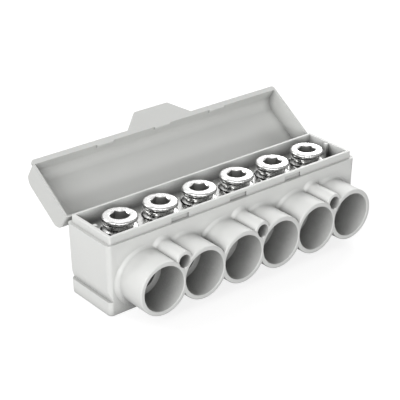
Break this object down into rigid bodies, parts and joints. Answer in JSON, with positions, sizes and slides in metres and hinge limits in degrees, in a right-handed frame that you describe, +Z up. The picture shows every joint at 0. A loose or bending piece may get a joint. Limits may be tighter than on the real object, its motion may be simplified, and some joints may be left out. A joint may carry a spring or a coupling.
{
  "type": "distribution block",
  "caption": "Cable distribution block: moulded housing with a row of cable tubes, a common terminal bar with hexagon-socket clamp screws and a hinged snap lid.",
  "frame": {"origin": "centre of the housing's flat base, under the middle of the row", "axes": "+X along the row of ways, -Y out of the cable tubes, +Z up"},
  "size_m": [0.1446, 0.0824, 0.0582],
  "materials": {
    "housing_plastic": "fine satin moulded",
    "lid_plastic": "fine satin moulded",
    "bar_metal": "tinned, satin",
    "screw_metal": "bright plated"
  },
  "bodies": {
    "base": {"housing": "housing_plastic", "terminal_bar": "bar_metal", "film_hinge": "lid_plastic"},
    "lid": {"lid": "lid_plastic"},
    "screw_1": {"clamp_screw_1": "screw_metal"},
    "screw_2": {"clamp_screw_2": "screw_metal"},
    "screw_3": {"clamp_screw_3": "screw_metal"},
    "screw_4": {"clamp_screw_4": "screw_metal"},
    "screw_5": {"clamp_screw_5": "screw_metal"},
    "screw_6": {"clamp_screw_6": "screw_metal"}
  },
  "joints": [
    {"name": "lid_hinge", "type": "hinge", "parent": "base", "child": "lid", "pos_m": [0, 0.0159, 0.0352], "axis": [1, 0, 0], "range_deg": [-33.2, 146.8], "deforming": ["film_hinge"]},
    {"name": "screw_1_drive", "type": "slide", "parent": "base", "child": "screw_1", "axis": [0, 0, 1], "range_m": [-0.015, 0.004]},
    {"name": "screw_2_drive", "type": "slide", "parent": "base", "child": "screw_2", "axis": [0, 0, 1], "range_m": [-0.015, 0.004]},
    {"name": "screw_3_drive", "type": "slide", "parent": "base", "child": "screw_3", "axis": [0, 0, 1], "range_m": [-0.015, 0.004]},
    {"name": "screw_4_drive", "type": "slide", "parent": "base", "child": "screw_4", "axis": [0, 0, 1], "range_m": [-0.015, 0.004]},
    {"name": "screw_5_drive", "type": "slide", "parent": "base", "child": "screw_5", "axis": [0, 0, 1], "range_m": [-0.015, 0.004]},
    {"name": "screw_6_drive", "type": "slide", "parent": "base", "child": "screw_6", "axis": [0, 0, 1], "range_m": [-0.015, 0.004]}
  ]
}
